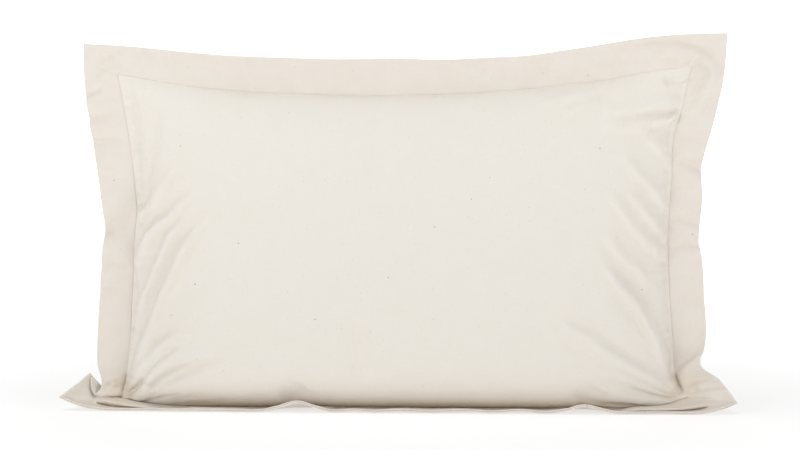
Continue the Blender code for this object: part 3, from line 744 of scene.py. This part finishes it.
# Soft folds of the front: (height, half width left of the path, right of it, path).
POCKET_FOLDS = [
    (5.0, 5, 10, [(-372, 8), (-368, 28), (-365, 41), (-359, 61), (-351, 85), (-341, 107), (-331, 133),
                  (-321, 157), (-309, 180), (-297, 206), (-284, 228), (-271, 247), (-250, 280)]),
    (3.8, 7, 13, [(-374, 16), (-359, 36), (-348, 57), (-336, 70), (-321, 86), (-303, 101), (-290, 114)]),
    (4.0, 5, 9, [(-376, 66), (-366, 93), (-360, 121), (-352, 147), (-339, 175), (-332, 191), (-320, 216),
                 (-310, 236), (-298, 251), (-278, 276)]),
    (4.2, 5, 9, [(-374, 160), (-366, 186), (-361, 206), (-352, 222), (-343, 236), (-328, 250), (-313, 260),
                 (-299, 275), (-274, 304)]),
    (3.6, 6, 10, [(-374, 254), (-364, 262), (-352, 267), (-342, 274), (-336, 284), (-330, 295), (-324, 305),
                 (-300, 332)]),
    (-1.4, 4, 4, [(-372, 269), (-363, 272), (-354, 275), (-345, 282), (-336, 306)]),
    (-2.0, 8, 8, [(-330, 420), (-332, 396), (-335, 359), (-338, 325), (-342, 290)]),
    (4.4, 5, 16, [(-386, 3), (-374, 10), (-362, 16), (-353, 23), (-342, 35), (-336, 44), (-327, 54),
                  (-300, 76), (-284, 92)]),
    (-3.2, 5, 7, [(-384, 10), (-372, 16), (-362, 22), (-352, 30), (-340, 42)]),
    (-2.5, 10, 14, [(-350, 12), (-336, 21), (-324, 39), (-309, 47), (-288, 54), (-240, 68)]),
    (-1.2, 7, 7, [(-344, 408), (-343, 373), (-344, 340)]),
    (-3.0, 10, 10, [(360, 443), (385, 451), (404, 458)]),
    (1.8, 8, 8, [(218, 399), (248, 410), (282, 423)]),
    (1.8, 8, 8, [(184, 414), (247, 429), (276, 436)]),
    (2.3, 10, 7, [(276, 398), (330, 413), (362, 418), (398, 424)]),
    (-0.9, 6, 6, [(320, 399), (343, 403), (357, 405), (374, 404), (402, 410)]),
    (2.2, 6, 12, [(270, 386), (329, 389), (371, 393), (388, 394)]),
    (3.0, 4, 4, [(366, 388), (374, 395), (378, 400), (396, 408)]),
    (-1.8, 6, 8, [(336, 378), (350, 382), (363, 384), (388, 382)]),
    (2.0, 11, 7, [(338, 374), (348, 363), (360, 350), (382, 318)]),
    (2.4, 9, 6, [(300, 352), (312, 339), (320, 327), (330, 315), (342, 304), (354, 290), (382, 256)]),
    (2.2, 9, 6, [(306, 300), (320, 288), (330, 275), (340, 263), (350, 252), (378, 214)]),
    (3.0, 10, 7, [(276, 302), (290, 288), (299, 275), (309, 261), (320, 246), (333, 233), (343, 222),
                  (354, 215), (386, 194)]),
    (2.2, 9, 7, [(276, 244), (288, 230), (296, 218), (307, 205), (318, 195), (350, 168)]),
    (-2.0, 12, 12, [(266, 216), (279, 202), (291, 192), (307, 180), (328, 161), (352, 124)]),
    (4.0, 11, 8, [(258, 226), (273, 208), (284, 191), (296, 171), (310, 157), (324, 141), (335, 123),
                  (345, 106), (352, 93), (359, 73), (368, 57), (376, 41), (388, 14)]),
    (3.6, 9, 14, [(200, 134), (240, 108), (263, 96), (276, 84), (295, 72), (321, 56), (339, 49),
                  (356, 40), (373, 30), (385, 23), (404, 10)]),
    (-1.6, 7, 8, [(300, 36), (323, 25), (342, 18), (363, 16), (396, 12)]),
    (-6.0, 8, 8, [(384, 84), (378, 56), (374, 36)]),
    (-1.6, 16, 16, [(-160, 10), (-140, 20), (-124, 38)]),
    (-1.6, 16, 16, [(236, 8), (256, 20), (272, 38)]),
    (-1.5, 14, 14, [(-38, 36), (-50, 80), (-54, 130)]),
]
# Shares of the folds that are set before the cloth is let go, and again after it, and the
# distance from the seams over which they fade out.
SHARE_BEFORE = 0.7
SHARE_AFTER = 1.5
RIM_CALM = 5


def seam_patch(u, v):
    """The surface spanned by the topstitch line, which lies inside the filling."""
    u_share = u[..., None]
    v_share = v[..., None]
    low = seam_bottom.at(u) * (1 - v_share) + seam_top.at(u) * v_share
    sides = seam_left.at(v) * (1 - u_share) + seam_right.at(v) * u_share
    low_corners = seam_bottom.at(0.0) * (1 - u_share) + seam_bottom.at(1.0) * u_share
    high_corners = seam_top.at(0.0) * (1 - u_share) + seam_top.at(1.0) * u_share
    return low + sides - low_corners * (1 - v_share) - high_corners * v_share


def panel_shares(rows, columns):
    """Shares across and up a panel, closer together near the seams."""
    drawn_share = (1 - EVEN_SHARE) / 2
    shares = []
    for count in (columns, rows):
        even = np.linspace(0, 1, count + 1)
        shares.append(EVEN_SHARE * even + drawn_share * (1 - np.cos(np.pi * even)))
    return np.meshgrid(*shares)


def folded(points, folds, u, v, share):
    """The panel with a share of its folds, lifted half outward and half to the front. They
    fade out close to the seam."""
    from_side = np.minimum(u, 1 - u) * POCKET_WIDTH
    from_end = np.minimum(v, 1 - v) * POCKET_HEIGHT
    fade = (1 - np.exp(-((from_side / RIM_CALM) ** 2))) * (1 - np.exp(-((from_end / RIM_CALM) ** 2)))
    relief = fold_relief(folds, points[..., 0], points[..., 2]) * fade * share
    outward = surface_normals(points, False)
    outward = outward * np.sign(-outward[..., 1].mean()) * 0.5 + np.array([0, -0.5, 0])
    return points + outward * relief[..., None]


def panel_form(section, folds):
    """The panel's full form over the filling, by row and column."""
    u, v = panel_shares(ROWS, COLUMNS)
    middle = seam_patch(np.full_like(v, 0.5), v)
    bulge = SmoothCurve([(0, y, z) for y, z in section]).at(v) - middle
    bulge[..., 0] = 0
    low = 1 - eased_step(v, 0.0, LOW_CORNER_TOP)
    fullness = SIDE_FULLNESS + (LOW_CORNER_FULLNESS - SIDE_FULLNESS) * low
    roundness = SIDE_ROUNDNESS + (LOW_CORNER_ROUNDNESS - SIDE_ROUNDNESS) * low
    crown = np.clip(1 - np.abs(2 * u - 1) ** fullness, 0, 1) ** roundness
    from_side = np.minimum(u, 1 - u) * POCKET_WIDTH
    wide = eased_step(v, *WIDE_STARTS) * (u < 0.5) * (1 - eased_step(v, *WIDE_ENDS))
    margin = SIDE_MARGIN + (WIDE_MARGIN - SIDE_MARGIN) * wide
    flat = SIDE_MARGIN_FLAT + (1 - SIDE_MARGIN_FLAT) * WIDE_MARGIN_FLAT * wide
    crown = crown * (1 - flat * np.exp(-((from_side / margin) ** 3)) * eased_step(v, *MARGIN_STARTS))
    points = seam_patch(u, v) + bulge * crown[..., None]
    points = folded(points, folds, u, v, SHARE_BEFORE)
    rim = np.ones(u.shape, bool)
    rim[1:-1, 1:-1] = False
    nearest = np.linalg.norm(points[rim][:, None] - middle_points[None, :, 0], axis=2).argmin(axis=1)
    outward = middle_points[nearest, 1] - middle_points[nearest, 0]
    points[rim] += outward / np.linalg.norm(outward, axis=1, keepdims=True) * RIM_TUCK
    points[..., 2] = np.maximum(points[..., 2], 0)
    return points


def grid_faces(rows, columns, flip):
    """Faces of a grid of points, facing the other way if flip."""
    a = np.arange(rows)[:, None] * (columns + 1) + np.arange(columns)[None, :]
    faces = np.stack([a, a + 1, a + columns + 2, a + columns + 1], axis=-1).reshape(-1, 4)
    return faces[:, ::-1] if flip else faces


# The panel as cloth: stiff along its threads, limp in a bend, held along its seam and
# pressed outward by the filling, for just long enough to gather.
CLOTH_FRAMES = 14
CLOTH_SETTINGS = {
    "quality": 5,
    "mass": 0.3,
    "tension_stiffness": 40,
    "compression_stiffness": 40,
    "shear_stiffness": 10,
    "bending_stiffness": 0.5,
    "use_pressure": True,
    "uniform_pressure_force": 4,
    "vertex_group_mass": "seam",
    "pin_stiffness": 5,
}


def let_go(points, flip):
    """The form after it is let go as cloth, held along its seam and pressed from inside."""
    u, v = panel_shares(ROWS, COLUMNS)
    flat = np.stack([(u - 0.5) * POCKET_WIDTH, np.zeros_like(u), v * POCKET_HEIGHT], axis=-1)
    mesh = bpy.data.meshes.new("panel_in_cloth")
    mesh.from_pydata((points.reshape(-1, 3) * MM).tolist(), [], grid_faces(ROWS, COLUMNS, flip).tolist())
    panel = bpy.data.objects.new("panel_in_cloth", mesh)
    bpy.context.scene.collection.objects.link(panel)
    panel.shape_key_add(name="Basis")
    cut = panel.shape_key_add(name="cut")
    cut.data.foreach_set("co", (flat * MM).ravel().astype(np.float32))
    cut.value = 0
    index = np.arange((ROWS + 1) * (COLUMNS + 1)).reshape(ROWS + 1, COLUMNS + 1)
    seam = np.unique(np.concatenate([index[0], index[-1], index[:, 0], index[:, -1]]))
    panel.vertex_groups.new(name="seam").add(seam.tolist(), 1.0, "REPLACE")
    cloth = panel.modifiers.new("cloth", "CLOTH")
    for setting, value in CLOTH_SETTINGS.items():
        setattr(cloth.settings, setting, value)
    cloth.settings.rest_shape_key = cut
    cloth.settings.effector_weights.gravity = 0
    cloth.collision_settings.use_collision = False
    cloth.point_cache.frame_end = CLOTH_FRAMES
    for step in range(1, CLOTH_FRAMES + 1):
        bpy.context.scene.frame_set(step)
    evaluated = panel.evaluated_get(bpy.context.evaluated_depsgraph_get()).to_mesh()
    moved = np.empty(len(evaluated.vertices) * 3, np.float32)
    evaluated.vertices.foreach_get("co", moved)
    bpy.data.objects.remove(panel)
    bpy.context.scene.frame_set(1)
    return moved.reshape(points.shape).astype(float) / MM


# No point of the cloth moves farther than MOVE_CAP. Over CALM_SPAN in from the side seams,
# which stand at SIDES, the moves die down to CALM_SHARE of them.
MOVE_CAP = 9.0
CALM_SHARE = 0.22
CALM_SPAN = (50, 150)
SIDES = (-372, 378)


def settled(points, flip):
    """The panel with the folds that its spare cloth makes, calmer over its full middle."""
    move = let_go(points, flip) - points
    length = np.linalg.norm(move, axis=2, keepdims=True)
    move = move * (MOVE_CAP * np.tanh(length / MOVE_CAP) / np.maximum(length, 1e-6))
    left, right = SIDES
    from_side = np.minimum(points[..., 0] - left, right - points[..., 0])
    lively = CALM_SHARE + (1 - CALM_SHARE) * (1 - eased_step(from_side, *CALM_SPAN))
    return points + move * lively[..., None]


def finer(points):
    """Doubles a grid of points both ways. Each new point lies on the smooth curve through
    the four next to it, which weights them -1, 9, 9 and -1 sixteenths."""
    for axis in (0, 1):
        points = np.moveaxis(points, axis, 0)
        padded = np.concatenate([2 * points[:1] - points[1:2], points, 2 * points[-1:] - points[-2:-1]])
        between = (9 * (padded[1:-2] + padded[2:-1]) - padded[:-3] - padded[3:]) / 16
        doubled = np.empty((2 * len(points) - 1, *points.shape[1:]))
        doubled[::2] = points
        doubled[1::2] = between
        points = np.moveaxis(doubled, 0, axis)
    return points


# Small gathers of the panels square to the topstitching: (pitch, depth, reach from the
# seam). They are about half as deep by the bottom and top seams as by the sides.
GATHERS = [(9.0, 0.32, 9.0), (14.0, 0.7, 16.0), (23.0, 1.0, 26.0)]
SIDE_GATHERS = 1.0
BOTTOM_GATHERS = 0.5
TOP_GATHERS = 0.55
# They start GATHERS_START from the seam and slant, and along it, from before one corner to
# past the other, they drift and swell: (mean, spread, most).
GATHERS_SEEDS = {"front": 5, "back": 6}
GATHERS_START = 3
GATHERS_SLANT = 0.35
GATHERS_ALONG = (-40, 900)
GATHERS_DRIFT = 0.35
GATHERS_SWELL = (0.55, 0.4, 1.3)


def seam_gathers(points, flat, facing):
    """The panel with its small gathers, which differ from front to back."""
    random = np.random.default_rng(GATHERS_SEEDS["front" if facing > 0 else "back"])
    total = np.zeros(points.shape[:2])
    across, up = flat[..., 0], flat[..., 1]
    mean, spread, most = GATHERS_SWELL
    sides = (
        (across, up, SIDE_GATHERS), (POCKET_WIDTH - across, up, SIDE_GATHERS),
        (up, across, BOTTOM_GATHERS), (POCKET_HEIGHT - up, across, TOP_GATHERS),
    )
    for from_seam, along, strength in sides:
        started = 1 - np.exp(-((from_seam / GATHERS_START) ** 2))
        for pitch, depth, reach in GATHERS:
            knots = np.arange(*GATHERS_ALONG, pitch * 0.5)
            drift = np.cumsum(random.normal(0, GATHERS_DRIFT, len(knots)))
            swell = np.clip(random.normal(mean, spread, len(knots)), 0, most)
            slant = random.uniform(-GATHERS_SLANT, GATHERS_SLANT)
            place = along + slant * from_seam
            phase = place * (2 * math.pi / pitch) + np.interp(place, knots, drift)
            height = np.sin(phase) * np.interp(place, knots, swell) * depth * strength
            total += height * np.exp(-from_seam / reach) * started
    normals = surface_normals(points, False)
    return points - normals * (total * (1 if normals[..., 1].mean() * facing > 0 else -1))[..., None]


# The front panel's lower part can meet the flange below this level and before this y, and
# keeps this far above it.
MEETS_FLANGE_BELOW = 45
MEETS_FLANGE_BEFORE = -36
FLANGE_CLEAR = 0.5


def clear_of_flange(points, flange_points, faces):
    """Keeps the panel above the flange turned in under it, and above the floor."""
    tree = BVHTree.FromPolygons(flange_points.reshape(-1, 3).tolist(), faces.tolist())
    low = np.argwhere((points[..., 2] < MEETS_FLANGE_BELOW) & (points[..., 1] < MEETS_FLANGE_BEFORE))
    for row, column in low:
        x, y, z = points[row, column]
        hit = tree.ray_cast(Vector((x, y, MEETS_FLANGE_BELOW + 3)), Vector((0, 0, -1)))[0]
        if hit is not None:
            points[row, column, 2] = max(z, hit.z + FLANGE_CLEAR)
    points[..., 2] = np.maximum(points[..., 2], 0)
    return points


# Painted shade for the front: in its hollows, and low down where the pocket turns under
# and meets the flange: (share, full below this level, none above this one). The low
# painted shade fades out toward the low corners.
POCKET_PAINTED_SHADE_DEPTH = 10.0
POCKET_PAINTED_SHADE_STEPS = 4
PAINTED_UNDER_SHADES = [(0.2, 8, 60), (0.65, 0, 16)]
UNDER_HALF_WIDTH = 400
UNDER_FADE = (20, 140)

shares = finer(np.stack(panel_shares(ROWS, COLUMNS), axis=-1))
flat_places = shares * (POCKET_WIDTH, POCKET_HEIGHT)
front_points = finer(settled(panel_form(SECTION_FRONT, POCKET_FOLDS), False))
front_points = pinched(folded(front_points, POCKET_FOLDS, shares[..., 0], shares[..., 1], SHARE_AFTER))
front_points = clear_of_flange(seam_gathers(front_points, flat_places, 1), flange_loops, flange_quads)
back_points = finer(settled(panel_form(SECTION_BACK, []), True))
back_points = seam_gathers(back_points, flat_places, -1)
back_points[..., 2] = np.maximum(back_points[..., 2], 0)
front_normals = surface_normals(front_points, False)
front_normals *= np.sign(-front_normals[..., 1].mean())
# The front panel's painted shade, darker and warmer: in its hollows, low down where it turns under, and at
# the low corners' tight folds.
front_hollows = hollows(front_points, front_normals, False, POCKET_PAINTED_SHADE_STEPS)
front_painted_shade = np.clip(front_hollows / POCKET_PAINTED_SHADE_DEPTH, 0, PAINTED_SHADE_CAP)
height = front_points[..., 2]
# Painted shade low down, by height alone, thinner toward the low corners.
under = sum(shade * (1 - eased_step(height, full, none)) for shade, full, none in PAINTED_UNDER_SHADES)
under = under * eased_step(UNDER_HALF_WIDTH - np.abs(front_points[..., 0]), *UNDER_FADE)
front_painted_shade = np.maximum(np.maximum(front_painted_shade, under), knot_painted_shade(front_points))
front_panel = make_piece(
    "front_panel", front_points, grid_faces(2 * ROWS, 2 * COLUMNS, False), flat_places, front_painted_shade
)
back_panel = make_piece("back_panel", back_points, grid_faces(2 * ROWS, 2 * COLUMNS, True), flat_places)
# A single layer looks pale over the white filling.
POCKET_COLOUR = "#dbd6ce"
POCKET_BLOTCHES = 0.25
pocket_cotton = woven_cotton("unbleached_cotton_over_white_filling", POCKET_COLOUR, POCKET_BLOTCHES)
for panel in (front_panel, back_panel):
    panel.data.materials.append(pocket_cotton)
    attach(panel, "root")
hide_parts("filled_pocket")
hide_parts("filled_pocket")

# ---------------------------------------------------------------------------------------
# The topstitching itself
# Cotton thread, lockstitched through both panels every 3 mm, so it shows on both sides.
# Each stitch lies 1.5 mm out from the seam, half sunk into the cloth that it presses.
# ---------------------------------------------------------------------------------------
# In metres: from stitch to stitch, the part of it that shows, and the thread's radius.
STITCH_PITCH = 0.003
STITCH_LENGTH = 0.0025
THREAD_RADIUS = 0.0002
# In millimetres: out from the seam, and up from the flange's mid surface.
STITCH_OUT = 1.5
STITCH_RISE = 0.72


def stitch_row():
    """Both faces' stitch lines as closed loops of edges, for the stitches to follow."""
    strip = FLANGE_WIDTH / FLANGE_STRIPS
    line = middle_points[:, 0] + (middle_points[:, 1] - middle_points[:, 0]) * (STITCH_OUT / strip)
    count = len(line)
    loops = [line + middle_normals[:, 0] * (facing * STITCH_RISE) for facing in (1, -1)]
    mesh = bpy.data.meshes.new("stitch_row")
    edges = [(base + k, base + (k + 1) % count) for base in (0, count) for k in range(count)]
    mesh.from_pydata(((np.concatenate(loops) + table_shift) * MM).tolist(), edges, [])
    row = bpy.data.objects.new("stitch_row", mesh)
    bpy.context.scene.collection.objects.link(row)
    return row


def stitch_tree(thread):
    """Sets a stitch at every pitch along the edges, turned along them."""
    tree = bpy.data.node_groups.new("stitches", "GeometryNodeTree")
    tree.interface.new_socket("Geometry", in_out="INPUT", socket_type="NodeSocketGeometry")
    for name in ("Pitch", "Length", "Radius"):
        tree.interface.new_socket(name, in_out="INPUT", socket_type="NodeSocketFloat")
    tree.interface.new_socket("Geometry", in_out="OUTPUT", socket_type="NodeSocketGeometry")
    given = add_node(tree, "NodeGroupInput", {}, {})
    curve = add_node(tree, "GeometryNodeMeshToCurve", {}, {"Mesh": (given, "Geometry")})
    spaced = add_node(
        tree, "GeometryNodeResampleCurve", {"mode": "LENGTH"},
        {"Curve": (curve, "Curve"), "Length": (given, "Pitch")},
    )
    ball = add_node(tree, "GeometryNodeMeshUVSphere", {"Segments": 6, "Rings": 4, "Radius": 1.0}, {})
    half = add_node(tree, "ShaderNodeMath", {"operation": "MULTIPLY", 1: 0.5}, {0: (given, "Length")})
    size = add_node(
        tree, "ShaderNodeCombineXYZ", {},
        {"X": (given, "Radius"), "Y": (given, "Radius"), "Z": (half, "Value")},
    )
    along = add_node(tree, "GeometryNodeInputTangent", {}, {})
    turned = add_node(tree, "FunctionNodeAlignEulerToVector", {"axis": "Z"}, {"Vector": (along, "Tangent")})
    placed = add_node(
        tree, "GeometryNodeInstanceOnPoints", {},
        {"Points": (spaced, "Curve"), "Instance": (ball, "Mesh"), "Rotation": (turned, "Rotation"),
         "Scale": (size, "Vector")},
    )
    real = add_node(tree, "GeometryNodeRealizeInstances", {}, {"Geometry": (placed, "Instances")})
    painted = add_node(
        tree, "GeometryNodeSetMaterial", {"Material": thread}, {"Geometry": (real, "Geometry")}
    )
    add_node(tree, "NodeGroupOutput", {}, {"Geometry": (painted, "Geometry")})
    return tree


# Twisted cotton thread is smoother than the cloth, so it shines a little more.
THREAD_COLOUR = "#e2d6c5"
THREAD_ROUGHNESS = 0.7
thread = bpy.data.materials.new("cotton_sewing_thread")
thread.use_nodes = True
thread_shader = thread.node_tree.nodes["Principled BSDF"]
thread_shader.inputs["Base Color"].default_value = (*linear(THREAD_COLOUR), 1)
thread_shader.inputs["Roughness"].default_value = THREAD_ROUGHNESS
row = stitch_row()
sewing = row.modifiers.new("stitches", "NODES")
sewing.node_group = stitch_tree(thread)
sizes = {"Pitch": STITCH_PITCH, "Length": STITCH_LENGTH, "Radius": THREAD_RADIUS}
for socket in sewing.node_group.interface.items_tree:
    if socket.in_out == "INPUT" and socket.name in sizes:
        sewing[socket.identifier] = sizes[socket.name]
sewn = bpy.data.meshes.new_from_object(row.evaluated_get(bpy.context.evaluated_depsgraph_get()))
row.modifiers.remove(sewing)
row.data = sewn
row.name = "topstitching"
sewn.shade_smooth()
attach(row, "root")

# ---------------------------------------------------------------------------------------
# Seed flecks
# Bits of seed coat spun into the yarn. The darkest ones lie on the cloth as thin chips.
# The fainter ones are in the cotton itself.
# ---------------------------------------------------------------------------------------
# Each fleck is (x, z, width), seen from the front.
DARK_FLECKS = [
    (274, 355, 2.2), (51, 250, 1.9), (100, 287, 1.9), (-396, 310, 1.8), (-214, 227, 1.8),
    (-109, 126, 1.9), (-11, 182, 1.9), (-271, 70, 1.2), (403, 237, 1.8), (332, 163, 2.2),
    (260, 455, 1.6), (198, 458, 1.5), (-274, 171, 2.4), (225, 105, 1.3), (-298, 358, 1.5),
    (-308, 127, 1.5),
]
RUST_FLECKS = [
    (-150, 404, 1.3), (-216, 397, 1.2), (-90, 378, 1.2), (-264, 373, 1.1), (-126, 311, 1.3),
    (-97, 312, 1.3), (-158, 275, 1.3), (-25, 268, 1.2), (209, 389, 1.4), (125, 316, 1.5),
    (253, 300, 1.3), (420, 437, 1.2), (-146, 162, 1.3), (-35, 109, 1.5), (180, 115, 1.2),
    (250, 172, 1.2), (96, 195, 1.1), (282, 27, 1.2),
]
# Seed coat is a dry, dull husk, from dark brown to rust.
DARK_HUSK = "#4b3a2c"
RUST_HUSK = "#9a7048"
HUSK_ROUGHNESS = 0.8
# A chip's sides, half its height as a share of its width, how far its middle stands out
# and its rim lies in, and a place in front of the pillow to find the cloth from.
FLECK_SIDES = 8
FLECK_HALF_HEIGHT = 0.36
FLECK_RISE = 0.25
FLECK_SUNK = 0.05
FLECK_SEEN_FROM = -400


def fleck_piece(name, flecks, hex_colour):
    """Small thin chips that lie on the front of the cloth, longer across than up."""
    front_quads = grid_faces(2 * ROWS, 2 * COLUMNS, False)
    trees = [
        BVHTree.FromPolygons(front_points.reshape(-1, 3).tolist(), front_quads.tolist()),
        BVHTree.FromPolygons(flange_loops.reshape(-1, 3).tolist(), flange_quads.tolist()),
    ]
    points = []
    faces = []
    for x, z, width in flecks:
        seen_from = Vector((x, FLECK_SEEN_FROM, z))
        hits = [tree.ray_cast(seen_from, Vector((0, 1, 0))) for tree in trees]
        place, normal = min((hit[:2] for hit in hits if hit[0] is not None), key=lambda hit: hit[0].y)
        normal = normal if normal.y < 0 else -normal
        across = Vector((1, 0, 0)) - normal * normal.x
        across.normalize()
        up = across.cross(normal)
        base = len(points)
        points.append(place + normal * FLECK_RISE)
        for k in range(FLECK_SIDES):
            angle = 2 * math.pi * k / FLECK_SIDES
            rim = across * (math.cos(angle) * width / 2)
            rim -= up * (math.sin(angle) * width * FLECK_HALF_HEIGHT)
            points.append(place + rim - normal * FLECK_SUNK)
            faces.append((base, base + 1 + k, base + 1 + (k + 1) % FLECK_SIDES))
    piece = make_piece(name, np.array([tuple(point) for point in points]), np.array(faces))
    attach(piece, "root")
    husk = bpy.data.materials.new(name + "_seed_coat")
    husk.use_nodes = True
    shader = husk.node_tree.nodes["Principled BSDF"]
    shader.inputs["Base Color"].default_value = (*linear(hex_colour), 1)
    shader.inputs["Roughness"].default_value = HUSK_ROUGHNESS
    piece.data.materials.append(husk)


fleck_piece("dark_flecks", DARK_FLECKS, DARK_HUSK)
fleck_piece("rust_flecks", RUST_FLECKS, RUST_HUSK)

# ---------------------------------------------------------------------------------------
# The studio
# A white floor and a white wall all round, which both glow a little, under an even
# ceiling, with soft lights to the left, above, to the right and behind.
# ---------------------------------------------------------------------------------------
# Metres from the middle over which a surface's glow grows from its near to its far value.
GLOW_SPAN = (0.35, 1.6)


def white_surface(name, reflected, glow, far_glow):
    """Matt white paint that gives some light of its own, more of it farther out."""
    paint = bpy.data.materials.new(name)
    paint.use_nodes = True
    tree = paint.node_tree
    shader = tree.nodes["Principled BSDF"]
    shader.inputs["Base Color"].default_value = (reflected, reflected, reflected, 1)
    shader.inputs["Roughness"].default_value = 1.0
    shader.inputs["Specular IOR Level"].default_value = 0.0
    shader.inputs["Emission Color"].default_value = (1, 1, 1, 1)
    place = add_node(tree, "ShaderNodeTexCoord", {}, {})
    away = add_node(tree, "ShaderNodeVectorMath", {"operation": "LENGTH"}, {0: (place, "Object")})
    near, far = GLOW_SPAN
    spread = add_node(
        tree, "ShaderNodeMapRange",
        {"interpolation_type": "SMOOTHSTEP", "From Min": near, "From Max": far,
         "To Min": glow, "To Max": far_glow},
        {"Value": (away, "Value")},
    )
    tree.links.new(spread.outputs["Result"], shader.inputs["Emission Strength"])
    return paint


# In metres. The wall stands far enough out to be behind any camera.
STUDIO_RADIUS = 9.0
STUDIO_SIDES = 96
WALL_HEIGHT = 2.0
CEILING_GLOW = 0.28
# Each paint: the light it reflects, and its glow at the middle and far out.
FLOOR_PAINT = (0.55, 0.5, 0.85)
WALL_PAINT = (0.6, 1.0, 1.0)
rim_angles = np.linspace(0, 2 * math.pi, STUDIO_SIDES + 1)[:-1]
rim_points = np.stack([STUDIO_RADIUS * np.cos(rim_angles), STUDIO_RADIUS * np.sin(rim_angles)], axis=1)
for name, levels, paint in (
    ("studio_floor", (0,), white_surface("white_floor", *FLOOR_PAINT)),
    ("studio_wall", (0, WALL_HEIGHT), white_surface("white_wall", *WALL_PAINT)),
):
    mesh = bpy.data.meshes.new(name)
    corners = [(x, y, level) for level in levels for x, y in rim_points.tolist()]
    if len(levels) == 1:
        sides = [tuple(range(STUDIO_SIDES))]
    else:
        pairs = [(k, (k + 1) % STUDIO_SIDES) for k in range(STUDIO_SIDES)]
        sides = [(one, other, STUDIO_SIDES + other, STUDIO_SIDES + one) for one, other in pairs]
    mesh.from_pydata(corners, [], sides)
    mesh.materials.append(paint)
    surround = bpy.data.objects.new(name, mesh)
    bpy.context.scene.collection.objects.link(surround)

world = bpy.data.worlds.new("studio ceiling")
world.use_nodes = True
world.node_tree.nodes["Background"].inputs["Color"].default_value = (1, 1, 1, 1)
world.node_tree.nodes["Background"].inputs["Strength"].default_value = CEILING_GLOW
bpy.context.scene.world = world

# Each soft light: name, place, width, height and power in watts. All point at LIT_PLACE.
LIT_PLACE = Vector((0, 0, 0.2))
SOFT_LIGHTS = [
    ("softbox left", (-1.9, -2.0, 0.8), 0.9, 0.9, 19),
    ("softbox above", (-0.2, -0.15, 2.5), 1.6, 1.2, 24),
    ("softbox right", (2.0, -1.9, 0.8), 1.2, 1.0, 17),
    ("softbox behind", (0.4, 2.6, 1.2), 1.6, 1.2, 10),
]
for name, place, width, height, power in SOFT_LIGHTS:
    lamp = bpy.data.lights.new(name, "AREA")
    lamp.shape = "RECTANGLE"
    lamp.size = width
    lamp.size_y = height
    lamp.energy = power
    lamp_object = bpy.data.objects.new(name, lamp)
    lamp_object.location = place
    lamp_object.rotation_euler = (LIT_PLACE - lamp_object.location).to_track_quat("-Z", "Y").to_euler()
    bpy.context.scene.collection.objects.link(lamp_object)

# The camera stands in front, a little to the right and above the pillow's middle. Its
# place and its aim are in metres in the tables' frame, and its film and lens in millimetres.
CAMERA_PLACE = Vector((0.10745, -2.75797, 0.38))
CAMERA_AIM = Vector((0.0015, 0, 0.2486))
camera = bpy.data.cameras.new("camera")
camera.sensor_width = 36
camera.lens = 90
camera_object = bpy.data.objects.new("camera", camera)
table_move = Vector(table_shift * MM)
camera_object.location = CAMERA_PLACE + table_move
aim = CAMERA_AIM + table_move
camera_object.rotation_euler = (aim - camera_object.location).to_track_quat("-Z", "Y").to_euler()
bpy.context.scene.collection.objects.link(camera_object)
bpy.context.scene.camera = camera_object
bpy.context.scene.view_settings.view_transform = "Standard"
